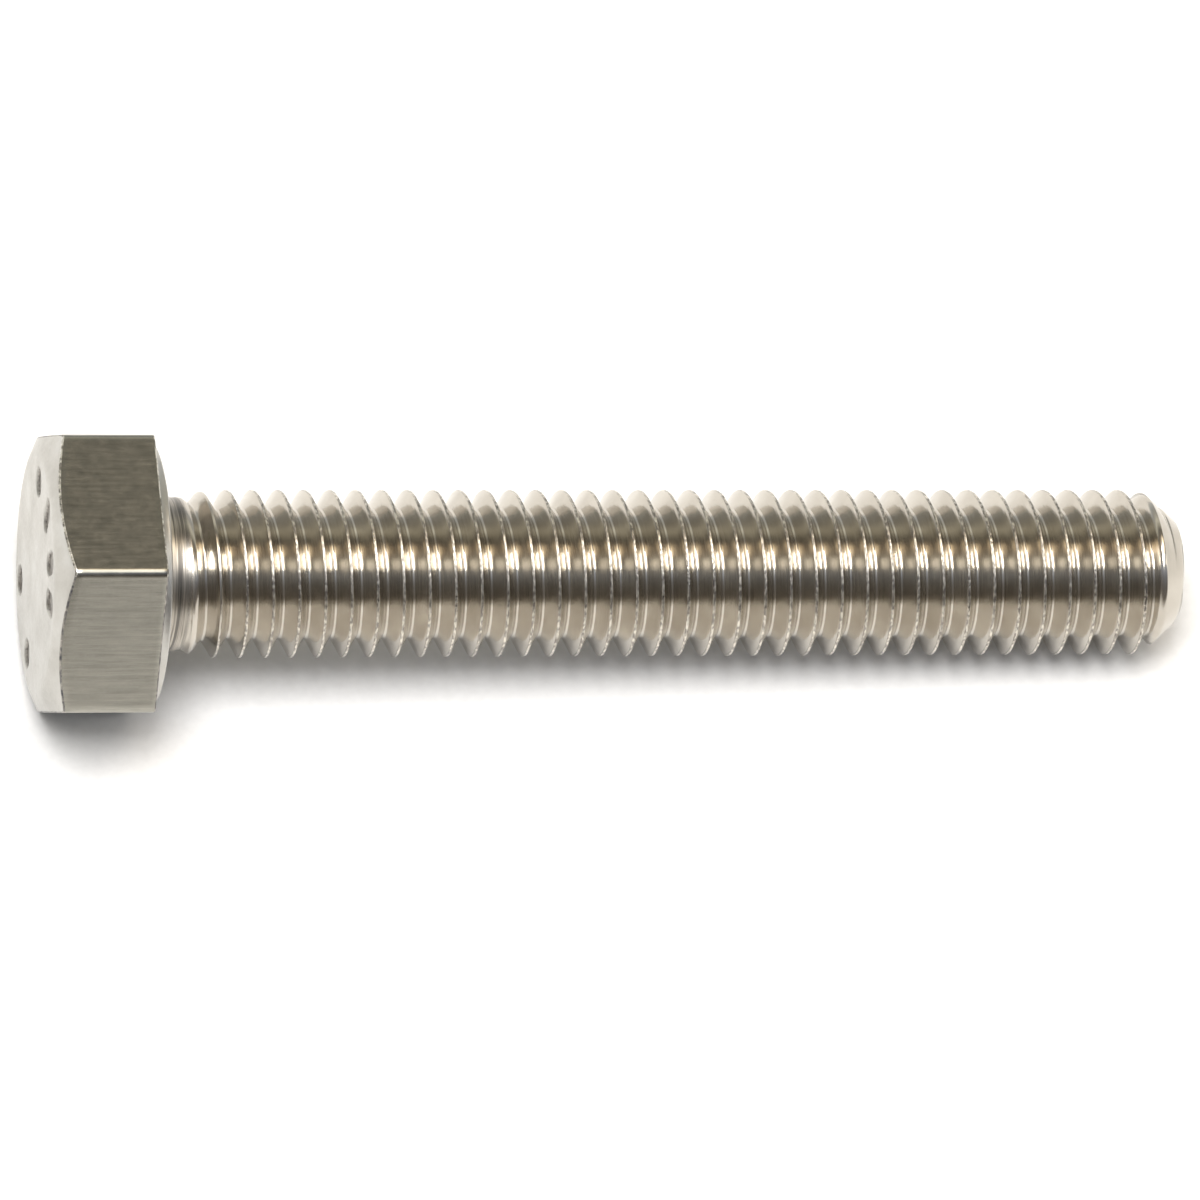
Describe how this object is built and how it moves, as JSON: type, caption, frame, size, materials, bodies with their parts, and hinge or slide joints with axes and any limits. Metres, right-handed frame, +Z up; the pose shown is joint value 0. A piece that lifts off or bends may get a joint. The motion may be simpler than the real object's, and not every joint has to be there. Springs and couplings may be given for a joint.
{
  "type": "hex head bolt",
  "caption": "Stainless hexagon head bolt with a washer face, threaded all the way up to the head, with a chamfered point.",
  "frame": {"origin": "on the bolt's axis in the bearing plane under the head, where the nominal length starts", "axes": "+X along the bolt from the head to the point, +Z up out of a flat of the head, +Y across corners"},
  "size_m": [0.0555, 0.015, 0.013],
  "materials": {
    "stainless_steel": "satin"
  },
  "bodies": {
    "root": {"hex_bolt": "stainless_steel"}
  },
  "joints": []
}
